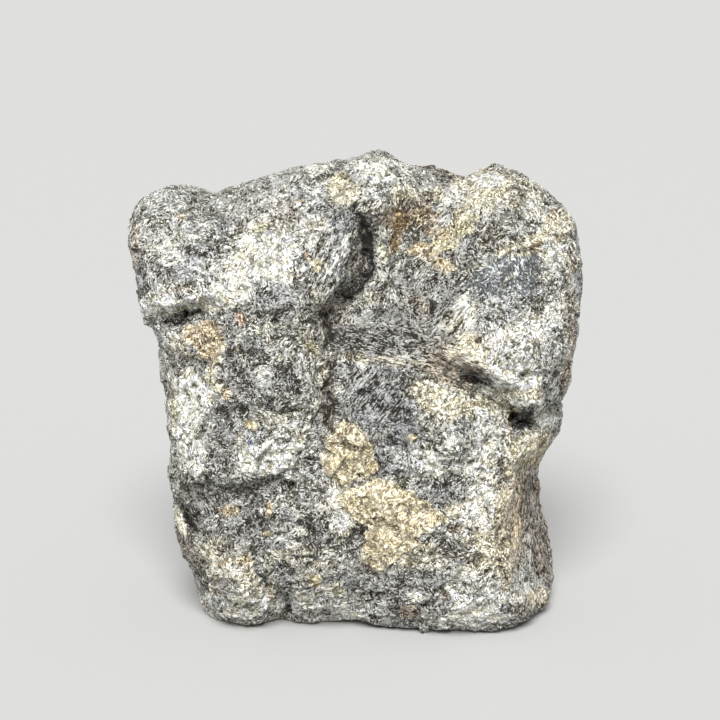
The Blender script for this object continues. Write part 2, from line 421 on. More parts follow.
    ("amber tip", "amber", 7.5, 84.5, 1.1, 2.5, -12, 1),
    ("olive slash", "amber", 14.5, 88, 0.7, 3, -35, 0.7),
    ("yellow of the top", "yellow", 15, 93.5, 1.5, 1.5, 0, 0.6),
    ("olive spot of the hump", "olive", 30.5, 94, 1.7, 1.7, 0, 0.7),
    ("orange streak", "amber", 34.5, 83.5, 1.7, 0.7, 25, 0.85),
    ("first olive pit", "moss", 30.5, 73.5, 0.8, 1.4, 0, 0.9),
    ("second olive pit", "moss", 35, 71.5, 1.4, 1.2, 0, 0.9),
    ("third olive pit", "moss", 28, 70, 1.2, 1.2, 0, 0.85),
    ("white gap of the wedge", "white", 20.5, 73, 1.3, 1, 30, 0.7),
    ("black fleck", "soot", 0, 70.5, 1.4, 0.8, 30, 0.95),
    ("dark thread of the dish", "charcoal", 4, 75, 1.7, 0.6, -10, 0.75),
    ("soot dot of the dish", "soot", 14.5, 72.5, 0.6, 0.6, 0, 0.9),
    ("soot in the nest", "soot", 10, 64, 1.6, 1, -30, 0.7),
    ("first soot dot", "soot", 22.5, 53.5, 0.8, 0.6, 0, 0.9),
    ("orange of the golden rim", "amber", 30.5, 50.5, 0.4, 1.2, 0, 0.9),
    ("brown drip", "brown", 28.5, 39, 0.8, 1.9, 0, 0.9),
    ("second black core", "charcoal", 8.5, 56, 1.2, 2, 0, 0.7),
    ("small tan chip", "ochre", 11, 45, 1.2, 0.8, -15, 0.95),
    ("first charcoal drop", "soot", 12, 36, 0.8, 0.6, 0, 0.8),
    ("second charcoal drop", "soot", 16.5, 35, 1.8, 0.8, 25, 0.8),
    ("dark of the rusty round", "charcoal", 21, 40, 1.2, 0.8, 0, 0.6),
    ("rusty spot of the lobe", "rust", 19.5, 26, 1.6, 1.1, 0, 0.8),
    ("ivory spot", "white", 7, 29.5, 1.2, 1.9, -20, 1),
    ("orange hollow", "amber", 6.5, 23.5, 3, 0.8, 12, 0.9),
    ("dark edge of the boulder", "charcoal", 1, 25, 0.8, 1.9, 0, 0.7),
    ("first spot of the boulder", "soot", -8.5, 23.5, 1.6, 1.5, 0, 0.8),
    ("second spot of the boulder", "soot", -12, 27.5, 1, 0.8, 0, 0.85),
    ("third spot of the boulder", "soot", -4, 22.5, 1, 0.8, 0, 0.7),
    ("flakes of the boulder", "white", -11.5, 25.5, 2, 0.8, -20, 0.9),
    ("tan strip", "tan", -17.5, 30, 0.8, 2, -10, 0.9),
    ("ochre end of the strip", "ochre", -18, 25, 1, 0.8, 0, 1),
    ("soot of the mass", "soot", -28.5, 25.5, 1.2, 0.8, 0, 0.85),
    ("dark corner of the block", "soot", -20.5, 21, 0.6, 1.1, 0, 0.85),
    ("first soot of the brow", "soot", -25, 34.5, 1.6, 1.3, 0, 0.6),
    ("second soot of the brow", "soot", -17.5, 35.5, 0.8, 1, 0, 0.8),
    ("third soot of the brow", "soot", -14.5, 36, 1, 1, 0, 0.8),
    ("left flake", "cream", -35.5, 28, 1, 3, 15, 0.95),
    ("dark edge of the flake", "soot", -33.5, 27.5, 0.8, 1.5, 15, 0.9),
    ("first amber pit", "amber", -27.5, 18.5, 1.2, 0.6, 0, 0.9),
    ("second amber pit", "tan", -22.5, 19, 1.8, 1.1, 0, 0.8),
    ("blue strip of the block", "blue grey", -19, 16, 0.8, 3, 18, 0.8),
    ("tan strip of the block", "tan", -17.5, 12.5, 0.8, 3, 18, 0.8),
    ("beige by the cluster", "cream", -15.5, 20.5, 2.5, 1.1, 0, 0.7),
    ("beige by the boulder", "cream", -7, 19, 2.5, 0.9, 0, 0.5),
    ("tan egg", "ochre", -8.5, 15, 1.6, 1.3, -30, 1),
    ("dark of the silver foot", "charcoal", -6.5, 8, 1.2, 0.9, 0, 0.8),
    ("cream of the silver foot", "cream", -11, 11, 1.2, 1.3, 0, 0.7),
    ("yellow foot", "yellow", -4, 13, 1.6, 1.7, 0, 0.6),
    ("dark over the yellow foot", "charcoal", -4, 17.5, 0.8, 1.1, 0, 0.8),
    ("first soot of the foot", "soot", 9.5, 13.5, 1.6, 1.3, 0, 0.8),
    ("moss over the foot", "moss", 2, 17, 3, 0.9, 0, 0.8),
    ("rusty disc", "rust", 10.5, 8.5, 2, 1.5, 0, 0.8),
    ("brown spot", "brown", 18, 11.5, 1.2, 1.3, 0, 1),
    ("olive spot of the toe", "olive", 23.5, 20, 1.6, 0.9, 10, 0.9),
    ("dark lip of the toe", "charcoal", 20, 19, 1.8, 0.6, 15, 0.7),
    ("dark blotch of the toe", "charcoal", 30.5, 9, 1.4, 1.1, 0, 0.7),
    ("grey under the disc", "blue grey", -31.5, 63, 1.4, 1, 0, 0.8),
    ("black dot", "soot", -29.5, 60.5, 0.6, 0.8, 0, 1),
    ("soot of the column", "soot", -24, 58, 1.6, 1.8, 0, 0.6),
    ("tan edge of the green disc", "tan", -25.5, 54, 0.7, 1.4, 0, 0.95),
    ("dark curve in the strokes", "charcoal", -29.5, 48.5, 0.7, 2, -35, 0.95),
    ("soot of the black cluster", "soot", -13.5, 58.5, 1.8, 1.2, 0, 0.7),
    ("second black cluster", "soot", -17, 52.5, 1.2, 1.6, 0, 0.8),
    ("third black cluster", "charcoal", -12.5, 54.5, 1.6, 1.4, 0, 0.8),
    ("pale spot of the block", "white", -18, 58, 1.6, 1.6, 0, 0.75),
    ("ochre spot", "ochre", -21, 47.5, 1.3, 1.1, 0, 1),
    ("tail of the ochre spot", "ochre", -23, 45.5, 0.6, 1, -20, 0.7),
    ("blue flash", "blue", -21, 44, 0.8, 0.8, 0, 1),
    ("dark right of the block", "charcoal", -9, 40, 1, 1.7, 0, 0.6),
    ("yellow top of the ridge", "yellow", -9, 63.5, 1.2, 1.6, 0, 0.6),
    ("brown gap of the nose", "brown", -7, 83.5, 0.8, 3, -10, 0.7),
    ("dark line of the bulge", "soot", -17, 73.5, 1.9, 0.6, -20, 0.6),
    ("first black spot of the block", "soot", -20.5, 62.5, 1.2, 1, 0, 0.7),
    ("second black spot of the block", "soot", -17.5, 53.5, 1.6, 1.2, 0, 0.7),
    ("third black spot of the block", "soot", -23.5, 52, 1.2, 1.6, 20, 0.6),
    ("dark hole of the lobe", "soot", 24.5, 12.5, 1.6, 1.1, 0, 0.6),
    ("dark drop of the foot", "soot", 8.5, 11, 1.6, 1.7, 0, 0.7),
    ("second dark drop of the foot", "soot", 1, 14.5, 2, 1.3, 0, 0.6),
    ("third dark drop of the foot", "soot", -10, 8, 1.6, 1.1, 0, 0.7),
    ("dark of the swirl", "charcoal", -1.5, 87, 1.5, 1.5, 0, 0.6),
    ("top edge of the shelf", "cream", 35.5, 46, 3, 1, -6, 0.9),
    ("soot of the cleft", "soot", 24.5, 57, 2.5, 1, -25, 0.6),
    ("black slot of the hole", "soot", 34, 50, 0.6, 1.6, -35, 1),
    ("black lip of the crack", "soot", -34, 68.5, 3.5, 0.8, 14, 0.8),
    ("white under the crack's fold", "white", -31, 72, 2.5, 1.6, 6, 0.9),
    ("pale lip beside the hole", "cream", 34, 53.5, 2.5, 1.6, 0, 1),
    ("pale shelf's edge", "cream", 32.5, 43, 3, 2.5, 0, 0.9),
    ("dark of the left rim", "charcoal", -42.5, 76, 1.9, 2.5, 0, 0.6),
    ("black of the nest", "soot", 23, 57.5, 3, 0.8, -28, 0.7),
)

# Flat pieces that lie on the face, as outlines of the same plane: name: (finish, rise, points)
PLATES = {
    "upper plate": ("ochre", 0.45, (
        (-2.5, 48.5), (0.5, 47.5), (2.0, 44.5), (3.5, 42.0), (4.5, 39.0), (3.0, 37.0), (0.0, 36.5),
        (-2.5, 35.0), (-5.5, 36.5), (-7.0, 39.5), (-6.5, 43.5), (-4.5, 46.5),
    )),
    "lower plate": ("ochre", 0.45, (
        (-4.0, 32.0), (-1.0, 34.5), (3.5, 36.5), (7.0, 36.0), (11.0, 33.5), (16.0, 30.0), (19.0, 28.0),
        (16.0, 26.5), (13.0, 24.5), (11.0, 21.5), (8.0, 19.5), (5.0, 17.0), (1.5, 18.0), (1.0, 22.0),
        (2.0, 26.0), (-1.0, 29.0),
    )),
    "smooth cleavage face": ("slate", 0.0, (
        (20.0, 75.5), (22.5, 78.5), (27.5, 81.0), (32.5, 82.0), (34.5, 82.0), (35.5, 80.5), (35.0, 77.5),
        (33.5, 75.0), (31.5, 74.0), (27.5, 73.5), (23.5, 73.5),
    )),
    "tan plate by the crack": ("tan", 0.2, (
        (-34.0, 67.0), (-31.0, 68.5), (-28.0, 68.5), (-26.0, 67.0), (-25.5, 63.5), (-26.5, 61.0),
        (-29.0, 60.5), (-31.0, 62.5), (-33.0, 64.0),
    )),
}

# Clefts and cracks of the face: (name, width, depth, darkness, course of (x, z)), on the same plane.
# A fill has a depth below zero: it raises a hollow of the solid that is too deep, and isn't darkened
CRACKS = (
    ("right of the nose", 1.6, 1.3, 1.0, ((0, 90.5), (1.5, 87), (2.5, 83), (3, 79), (1, 75.5), (-2, 73))),
    ("foot of the nose", 1.2, 0.4, 0.25, ((-1.0, 76.5), (-3.5, 73.0), (-5.0, 70.5), (-5.5, 68.0))),
    ("left of the dish", 1.2, 0.5, 0.4, ((-5.5, 68.0), (-4.0, 65.0), (-3.8, 63.0), (-5.0, 60.0))),
    ("right of the block", 1.0, 0.9, 0.6, ((-5.0, 60.0), (-6.0, 55.0), (-5.5, 50.5), (-7.5, 44.5))),
    ("fill of the right cleft", 1.6, -1.2, 0.0, ((17.5, 58.5), (22.0, 56.0), (25.5, 55.0), (28.0, 52.5))),
    ("fill under the brow", 3.0, -1.6, 0.0, ((-32.5, 37.5), (-23, 36.5), (-13.5, 40))),
    ("fill left of the crack", 2.0, -1.2, 0.0, ((-41.5, 69), (-38.5, 68.5))),
    ("fill over the crack", 1.4, -0.7, 0.0, ((-36.5, 71.2), (-31.5, 72.8))),
    ("fill above the hole", 1.8, -1.0, 0.0, ((29, 54), (32, 52.5), (36, 52))),
    ("fill right of the hole", 2.0, -0.7, 0.0, ((35.0, 49.5), (37.5, 49))),
    ("slot above the hole", 0.7, 0.8, 1.0, ((32.5, 50.5), (33.5, 51.3), (34.5, 52.0))),
    ("rim under the bulge", 0.6, 0.5, 0.5, ((33.5, 46.5), (37.0, 46.0), (42.0, 45.6))),
    ("left crack", 0.8, 0.7, 1.0, ((-37.5, 68.0), (-35.0, 68.5), (-33.0, 69.5), (-31.0, 70.6))),
    (
        "under the white band", 0.5, 0.2, 0.15,
        ((-30.5, 71.0), (-27.5, 69.5), (-22.5, 71.0), (-16.0, 70.0), (-7.0, 70.5)),
    ),
    ("left notch", 1.2, 1.2, 0.9, ((-34.5, 29.5), (-33.5, 27.0), (-31.5, 25.5))),
    ("bottom cleft", 1.0, 1.4, 0.9, ((-14.5, 11.5), (-14.0, 9.5), (-13.5, 7.5))),
    (
        "edge of the bottom left block", 0.7, 0.6, 0.5,
        ((-21.0, 22.0), (-20.5, 18.0), (-18.5, 14.5), (-16.0, 11.0)),
    ),
    ("top of the cleavage face", 0.4, 0.3, 0.9, ((28.0, 81.0), (29.5, 82.0), (31.5, 82.5))),
    ("right of the cleavage face", 0.4, 0.3, 0.6, ((32.5, 82.5), (36.0, 83.5), (37.5, 84.0))),
    ("shade of the upper plate", 0.7, 0.6, 0.8, ((3.9, 42.0), (4.9, 39.2), (3.4, 36.8))),
    (
        "under the boulder", 0.6, 0.5, 0.45,
        ((-13.5, 20.5), (-9.5, 19.5), (-4.5, 19.5), (0.5, 22.0), (1.5, 26.0)),
    ),
    ("curl of the left lobe", 0.4, 0.3, 0.8, ((-24.5, 83.5), (-25.5, 81.5), (-27.5, 80.0))),
    ("thread of the dish", 0.4, 0.3, 0.8, ((8.5, 69.5), (10.0, 68.0), (11.0, 66.0))),
    ("shade of the brow", 0.8, 0.5, 0.4, ((-33.0, 38.0), (-27.0, 35.0), (-20.0, 35.5), (-13.0, 39.0))),
)

# Thin pale veins and fibres: (name, finish, width, rise, strength, course of (x, z)), on the same plane
VEINS = (
    ("first golden fibre", "cream", 0.35, 0.25, 0.8, ((15.5, 67.5), (18.5, 70.5), (22.0, 75.0))),
    ("second golden fibre", "cream", 0.3, 0.2, 0.7, ((17.5, 66.5), (19.5, 69.0), (22.5, 72.0))),
    ("first dish fibre", "cream", 0.22, 0.3, 0.45, ((-2.5, 62.5), (3.5, 61.0), (10.5, 60.5), (17.0, 59.0))),
    ("second dish fibre", "cream", 0.2, 0.3, 0.4, ((-1.0, 60.5), (5.5, 59.5), (12.5, 61.0), (18.0, 60.5))),
    ("third dish fibre", "silver", 0.2, 0.3, 0.5, ((2.0, 63.5), (6.5, 65.0), (11.5, 64.5), (16.0, 63.0))),
    ("fourth dish fibre", "silver", 0.25, 0.2, 0.6, ((4.5, 62.5), (9.5, 61.5), (14.5, 62.5))),
    ("first blue fibre", "white", 0.25, 0.2, 0.7, ((-3.5, 52.0), (0.0, 55.5), (4.0, 59.5))),
    ("second blue fibre", "white", 0.25, 0.2, 0.6, ((-2.0, 50.5), (3.0, 54.5), (9.0, 58.0))),
    ("third blue fibre", "silver", 0.2, 0.15, 0.7, ((-2.5, 58.5), (-1.0, 55.5), (1.5, 52.5))),
    ("fourth blue fibre", "white", 0.2, 0.15, 0.7, ((5.5, 53.0), (7.5, 56.5), (9.0, 59.0))),
    ("fifth blue fibre", "silver", 0.25, 0.2, 0.6, ((-3.5, 54.5), (-1.0, 57.0), (3.0, 60.5))),
    (
        "ridge of the block", "cream", 0.5, 0.5, 0.8,
        ((-8.0, 64.0), (-6.7, 60.5), (-6.7, 57.0), (-7.7, 52.5), (-9.5, 48.5), (-11.0, 43.5)),
    ),
    ("first scratch", "white", 0.15, -0.1, 0.9, ((27.0, 74.5), (29.5, 77.5), (31.5, 79.5))),
    ("second scratch", "charcoal", 0.15, -0.1, 0.6, ((24.0, 76.0), (26.0, 78.0), (28.5, 80.0))),
    ("toe fibre", "white", 0.25, 0.2, 0.8, ((16.0, 19.5), (19.0, 20.5), (24.5, 22.0))),
    ("first nose flute", "brown", 0.35, -0.5, 0.8, ((-3.0, 87.0), (-4.5, 83.5), (-6.5, 78.5))),
    ("second nose flute", "white", 0.35, 0.4, 0.9, ((-1.6, 85.5), (-3.2, 81.0), (-5.6, 76.5))),
    ("third nose flute", "soot", 0.3, -0.4, 0.8, ((-2.0, 80.0), (-3.5, 76.5), (-5.0, 73.5))),
    ("rim line", "brown", 0.3, -0.2, 0.8, ((41.5, 80.0), (40.5, 76.5), (40.5, 73.0))),
)

# Fibrous ground, where chips and strokes are drawn out along one way: (name, x, z, half width, half height,
# turn in degrees of the patch, turn in degrees of the fibres, relief)
FIBRES = (
    ("wall of the nose", -4.5, 81.5, 4, 9, -15, 66, 1.8),
    ("dish fibres", 9, 63, 12, 4.5, -10, -12, 1.2),
    ("nest of fibres", 23, 58, 7, 3, -25, -28, 1.2),
    ("right flank", 36.0, 26, 5.5, 18, 0, 92, 1.4),
    ("blue dark", 4, 54, 6, 6, 0, 50, 0.8),
    ("golden slope", 20, 70, 4, 5, -40, 52, 0.8),
)

# Flat tilted chips of the broken surface: (size in millimetres, slope, seed)
BROAD_CHIPS = ((6.5, 0.20, 3.1), (3.0, 0.42, 9.4))
FINE_CHIPS = ((1.5, 0.50, 17.2),)
FIBRE_CHIPS = ((1.4, 0.50, 21.0), (2.6, 0.30, 4.0))
CHIP_SEED = 7  # picks the random tilts of the chips
CHIP_SHUFFLE = 5.7  # spreads the tilts of neighbouring chips
CHIP_STRETCH = 5.0  # how much longer the chips of the fibrous grounds are than wide
LOST_UNDER_FIBRES = 0.6  # share of the broad chips' height that the fibres take away
LOST_ON_CLEAVAGE_FACE = 0.85
UNSEEN_RELIEF = 0.55  # share of the relief that the unseen sides keep

# Soft random waves: (height in millimetres or share, size in millimetres, seed)
ROUGHNESS_WAVES = ((0.16, 1.1, 31.0), (0.3, 4.0, 12.0))
EDGE_SHAKES = (((0.8, 2.6, 53.0), (0.5, 1.1, 55.0)), ((0.8, 2.6, 73.0), (0.5, 1.1, 75.0)))
PATCH_SHAKES = (((1.1, 3.0, 61.0), (0.6, 1.2, 63.0)), ((1.1, 3.0, 67.0), (0.6, 1.2, 69.0)))
BREAKING_WAVES = ((0.45, 1.5, 83.0), (0.45, 0.7, 87.0))
PIT_SIZE = 2.4
PIT_SEED = 91.0
PIT_DEPTH = 0.9
PIT_EDGE = (0.42, 0.67)  # from the rim to the full depth, by the height of the wave
SHAKE_PER_SIZE = 0.2  # how much of its smaller half width a patch is shaken by, up to the full shake

# Soft edges, from nothing to all of it. Those of flat pieces are millimetres inwards from the outline, and
# those of fibres, cracks and veins are parts of their own size, outwards
PLATE_EDGE = (-0.35, 0.35)
CLEAVAGE_EDGE = (-0.5, 0.5)
FIBRE_RELIEF_EDGE = (1.3, 0.7)
FIBRE_STROKE_EDGE = (1.5, 0.6)
CRACK_EDGE = (1.0, 0.0)
CRACK_SOOT_EDGE = (1.25, 0.25)
CRACK_SOOT_WIDTH = 0.7  # share of a crack's width that is darkened
VEIN_EDGE = (1.3, 0.3)
VEIN_PAINT_EDGE = (1.1, 0.1)
PATCH_BREAKING = 0.5  # how far the waves that break up the painting move the edges of patches
VEIN_BREAKING = 1.4

# Minerals before the patches: grains as (size, seed, share), and the waves that bend their edges
WILD_GRAINS = ((9.0, 2.0, 0.5), (4.5, 8.0, 0.3), (2.6, 5.0, 0.2))
GRAIN_SHUFFLE = 37.0  # spreads the random draws of neighbouring grains
WILD_BEND = 2.2
WILD_BEND_SIZE = 3.5
WILD_BEND_SEEDS = (41.0, 43.0, 47.0)
FACE_GREY = 0.65  # how far these minerals give way to grey on the broken face
PLATE_COVER = 0.95

# Deep and proud places at three sizes: (rounds of smoothing, depth of a full hollow in millimetres)
HOLLOWS = ((3, 0.10), (14, 0.35), (60, 1.2))
DEEPEST = -2.6
PROUDEST = 1.3
FADING = (0.36, 0.38, 0.42)  # deep places are brown, so red fades less there than blue
COLOUR_RANGE = (0.008, 0.88)

# Strokes of the flakes. Each way: (degrees up to the right, stretch, shift of its pattern in millimetres)
STROKE_WAYS = ((48.0, 4.0, (0.0, 0.0, 0.0)), (105.0, 3.5, (31.0, 3.0, 9.0)), (-12.0, 3.0, (5.0, 23.0, 2.0)))
FIBRE_STRETCH = 7.0
FIBRE_FINENESS = 1.5  # how much thinner the strokes of the fibrous grounds are than the others
FIBRE_WAVERING = 2.6  # how far the edges of the fibrous grounds are broken up
FIBROUS = (0.45, 0.50)  # from plain ground to fibrous ground
SWIRL = 0.4  # how far the strokes are bent, in millimetres

# Patterns of the surface: name: (waves to a millimetre, detail, roughness, shift that sets it apart).
# Strokes and hairs are counted to the width of a flake instead
PATTERNS = {
    "swirl": (1.1, 2.0, 0.5, (0.0, 0.0, 0.0)),
    "steep grains": (0.40, 2.0, 0.5, (0.0, 0.0, 0.0)),
    "lying grains": (0.45, 2.0, 0.5, (7.3, 2.9, 4.1)),
    "fibre edge": (0.7, 2.0, 0.5, (0.0, 0.0, 0.0)),
    "clumps": (0.30, 3.0, 0.85, (0.0, 0.0, 0.0)),
    "warmth": (0.55, 2.0, 0.5, (2.2, 5.1, 8.7)),
    "strokes": (0.45, 2.0, 0.75, (0.0, 0.0, 0.0)),
    "fine strokes": (0.9, 1.0, 0.5, (4.4, 8.1, 5.7)),
    "bright hairs": (0.42, 1.0, 0.5, (0.0, 0.0, 0.0)),
    "crossing hairs": (0.36, 1.0, 0.5, (1.7, 8.8, 6.1)),
    "dark hairs": (0.30, 1.0, 0.5, (9.1, 4.7, 2.3)),
}
# Where a pattern turns from 0 to 1, and the half width of a hair, by the height of its wave
PATTERN_EDGES = {
    "steep grains": (0.48, 0.52),
    "lying grains": (0.55, 0.58),
    "strokes": (0.45, 0.55),
    "warmth": (0.40, 0.62),
}
HAIR_WIDTHS = {"bright hairs": 0.055, "crossing hairs": 0.035, "dark hairs": 0.04}
GRAINS_PER_MM = 0.75
SPECKS_PER_MM = 2.8

# How strongly each pattern lightens (plus) or darkens (minus) the tone of the surface
TONES = {
    "strokes": 1.5,
    "fine strokes": 6.4,
    "grains": 0.6,
    "specks": 1.4,
    "bright hairs": 1.05,
    "dark hairs": -1.1,
}
CLUMPS = 1.4  # strength of the clumps in a mineral without contrast
CLUMPS_PER_CONTRAST = 5.0
OVERALL_CONTRAST = 1.2
FLAKE_TONE = 1.3  # the tone at which a flake is bright all over
FLAKE_COVER = 0.92
STAIN_HOLD = 0.7  # how much of its colour a strongly coloured mineral keeps in its flakes
BLACKNESS = (0.005, 0.05)  # from no silvering at all to all of it, by the mineral's brightness
GAP_TONE = -1.8  # the tone at which a gap is dark all over
GAP_COVER = 0.9
COOL_TINT = (0.98, 1.0, 1.02, 1.0)
WARM_TINT = (1.04, 1.0, 0.88, 1.0)
BUMP_STRENGTH = 0.9
BUMP_DEPTH = 0.18 * MM
GAP_ROUGHNESS = 0.55
FLAKE_GLOSS = 0.22  # how much less rough a bright flake is


class StoneSettings(bpy.types.PropertyGroup):
    skin_spacing: FloatProperty(
        name="Skin spacing", description="Distance between points of the skin on the unseen sides",
        default=0.80 * MM, min=0.4 * MM, max=2.0 * MM, precision=5, unit="LENGTH",
    )
    smoothing: IntProperty(
        name="Smoothing", description="Rounds of smoothing that melt the flat faces of the solid",
        default=6, min=0, max=40,
    )
    chip_relief: FloatProperty(
        name="Chip relief", description="Strength of the flat tilted chips of the broken surface",
        default=1.0, min=0.0, max=3.0,
    )
    plate_rise: FloatProperty(
        name="Plate rise", description="Strength of the steps at the edges of the plates",
        default=1.0, min=0.0, max=3.0,
    )
    flake_size: FloatProperty(
        name="Flake size", description="Width of the bright strokes of the flakes",
        default=0.26 * MM, min=0.1 * MM, max=3.0 * MM, precision=5, unit="LENGTH",
    )
    flake_colour: FloatVectorProperty(
        name="Flake colour", description="Colour of the brightest cleavage flakes",
        subtype="COLOR", size=3, min=0.0, max=1.0, default=paint(246, 246, 243),
    )
    gap_colour: FloatVectorProperty(
        name="Gap colour", description="Colour deep between the flakes",
        subtype="COLOR", size=3, min=0.0, max=1.0, default=paint(56, 45, 24),
    )


class StudioSettings(bpy.types.PropertyGroup):
    camera_distance: FloatProperty(
        name="Camera distance", description="From the camera to what it looks at",
        default=0.340, min=0.1, max=3.0, unit="LENGTH",
    )
    camera_height: FloatProperty(
        name="Camera elevation", description="How far the camera looks down",
        default=radians(14.0), min=0.0, max=radians(89.0), subtype="ANGLE",
    )
    lens: FloatProperty(
        name="Lens", description="Focal length in millimetres", default=80.7, min=10.0, max=300.0,
    )
    floor_colour: FloatVectorProperty(
        name="Floor colour", description="Colour of the studio floor",
        subtype="COLOR", size=3, min=0.0, max=1.0, default=(0.44, 0.44, 0.43),
    )
    key_power: FloatProperty(
        name="Key light", description="Strength of the soft key", default=5.2, min=0.0,
    )
    fill_power: FloatProperty(
        name="Fill light", description="Strength of the room's light", default=0.46, min=0.0,
    )


def ramp(value, zero, one):
    """From 0 where the value is `zero` to 1 where it is `one`, smoothly."""
    t = np.clip((value - zero) / (one - zero), 0.0, 1.0)
    return t * t * (3.0 - 2.0 * t)


def read_vectors(items, key):
    flat = np.empty(len(items) * 3)
    items.foreach_get(key, flat)
    return flat.reshape(-1, 3)


def read_edges(mesh):
    flat = np.empty(len(mesh.edges) * 2, dtype=np.int64)
    mesh.edges.foreach_get("vertices", flat)
    return flat.reshape(-1, 2)


def relaxed(values, edges, rounds, share=0.5):
    """Values of the points, each moved towards the mean of its neighbours."""
    count = len(values)
    first, second = edges.T
    neighbours = np.bincount(first, minlength=count) + np.bincount(second, minlength=count)
    values = values.reshape(count, -1)
    for _ in range(rounds):
        total = np.stack([
            np.bincount(first, column[second], count) + np.bincount(second, column[first], count)
            for column in values.T
        ], axis=1)
        values = values + share * (total / neighbours[:, None] - values)
    return values


def camera_place():
    studio = bpy.context.scene.studio_settings
    back = Vector((0.0, -cos(studio.camera_height), sin(studio.camera_height)))
    return AIM + back * studio.camera_distance


def on_face_plane(points):
    """Where the line of sight through each point meets the plane of the broken face: x and z, in mm."""
    eye = np.array(camera_place()) / MM
    share = (FACE_Y - eye[1]) / (points[:, 1] - eye[1])
    return eye[0] + share * (points[:, 0] - eye[0]), eye[2] + share * (points[:, 2] - eye[2])


def towards_camera(points, normals):
    """How fully each point faces the camera, from 0 to 1."""
    sight = np.array(camera_place()) / MM - points
    sight /= np.linalg.norm(sight, axis=1)[:, None]
    return ramp(np.einsum("ij,ij->i", sight, normals), TURNED_AWAY, IN_VIEW)


def field(points, size, seed):
    """A soft random field from -1 to 1 whose waves are about `size` long, in the unit of the points."""
    return np.array([noise.noise(Vector(place)) for place in points / size + seed])


def waves(points, layers):
    """The sum of soft random fields, each given by its height, size and seed."""
    return sum(height * field(points, size, seed) for height, size, seed in layers)


def chips(points, layers):
    """Heights of flat tilted chips, with a small step where two chips of one size meet."""
    heights = np.zeros(len(points))
    for size, slope, seed in layers:
        for number, place in enumerate(points / size + seed):
            place = Vector(place)
            middle = noise.voronoi(place)[1][0]
            tilt = noise.noise_vector(middle * CHIP_SHUFFLE)
            heights[number] += slope * size * tilt.dot(place - middle)
    return heights


def drawn_out(points, turn, stretch):
    """Points with their distances along one way shortened, so that what is laid on them comes out long."""
    way = np.array((cos(radians(turn)), 0.0, sin(radians(turn))))
    along = points @ way
    return points - np.outer(along * (1.0 - 1.0 / stretch), way)


def ellipse(x, z, middle_x, middle_z, wide, tall, turn):
    """How far each place is from the middle of an ellipse: 1 on its outline."""
    c, s = cos(radians(turn)), sin(radians(turn))
    along = ((x - middle_x) * c + (z - middle_z) * s) / wide
    across = ((z - middle_z) * c - (x - middle_x) * s) / tall
    return np.hypot(along, across)


def to_course(x, z, course, closed=False):
    """The distance to a course of points, and how many of its stretches lie right of each place."""
    away = np.full_like(x, np.inf)
    crossings = np.zeros(len(x), dtype=int)
    ends = course[1:] + (course[:1] if closed else ())
    for (x0, z0), (x1, z1) in zip(course, ends):
        run = np.array([x1 - x0, z1 - z0])
        share = np.clip(((x - x0) * run[0] + (z - z0) * run[1]) / (run @ run), 0.0, 1.0)
        away = np.minimum(away, np.hypot(x - x0 - share * run[0], z - z0 - share * run[1]))
        if z0 != z1:
            spans = (z0 > z) != (z1 > z)
            crossings += spans & (x < (x1 - x0) * (z - z0) / (z1 - z0) + x0)
    return away, crossings


def inside(x, z, outline):
    """How far inside an outline each place is; outside it is negative."""
    away, crossings = to_course(x, z, outline, closed=True)
    return np.where(crossings % 2 == 1, away, -away)


class Skin:
    """The dense skin of the stone: its mesh, and what is known about each of its points, in millimetres."""

    def __init__(self, mesh):
        self.mesh = mesh
        self.edges = read_edges(mesh)
        self.place_points(read_vectors(mesh.vertices, "co") / MM)

    def place_points(self, points):
        """Puts the points in their places, and looks again at how the camera sees them."""
        self.points = points
        self.mesh.vertices.foreach_set("co", (points * MM).astype(np.float32).ravel())
        self.mesh.update()
        self.normals = read_vectors(self.mesh.vertex_normals, "vector")
        self.x, self.z = on_face_plane(points)
        self.seen = towards_camera(points, self.normals)

    def lift(self, heights):
        """Moves each point along its normal, and keeps the foot flat."""
        free = ramp(self.points[:, 2], *FOOT_RISE)
        points = self.points + self.normals * (heights * free)[:, None]
        points[:, 2] = np.maximum(points[:, 2], 0.0)
        self.place_points(points)

    def ragged_place(self):
        """Each point's place on the face's plane, shaken so that what is drawn there has ragged edges."""
        shake_x, shake_z = [waves(self.points, layers) for layers in EDGE_SHAKES]
        return self.x + shake_x, self.z + shake_z

    def smoothness(self):
        """Where the one smooth cleavage face is."""
        _, _, outline = PLATES["smooth cleavage face"]
        return self.seen * ramp(inside(self.x, self.z, outline), *CLEAVAGE_EDGE)


def even_skin_of_solid(spacing):
    """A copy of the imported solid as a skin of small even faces."""
    shape = bmesh.new()
    shape.from_mesh(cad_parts[STONE_NODE].data)
    bmesh.ops.remove_doubles(shape, verts=shape.verts, dist=MERGE_DISTANCE)
    mesh = bpy.data.meshes.new("stone_core")
    shape.to_mesh(mesh)
    shape.free()
    core = bpy.data.objects.new("stone_core", mesh)
    bpy.context.scene.collection.objects.link(core)
    remesh = core.modifiers.new("Even skin", "REMESH")
    remesh.mode = "VOXEL"
    remesh.voxel_size = spacing
    bpy.context.view_layer.update()
    graph = bpy.context.evaluated_depsgraph_get()
    skin = bpy.data.meshes.new_from_object(core.evaluated_get(graph))
    bpy.data.objects.remove(core, do_unlink=True)
    bpy.data.meshes.remove(mesh)
    return skin


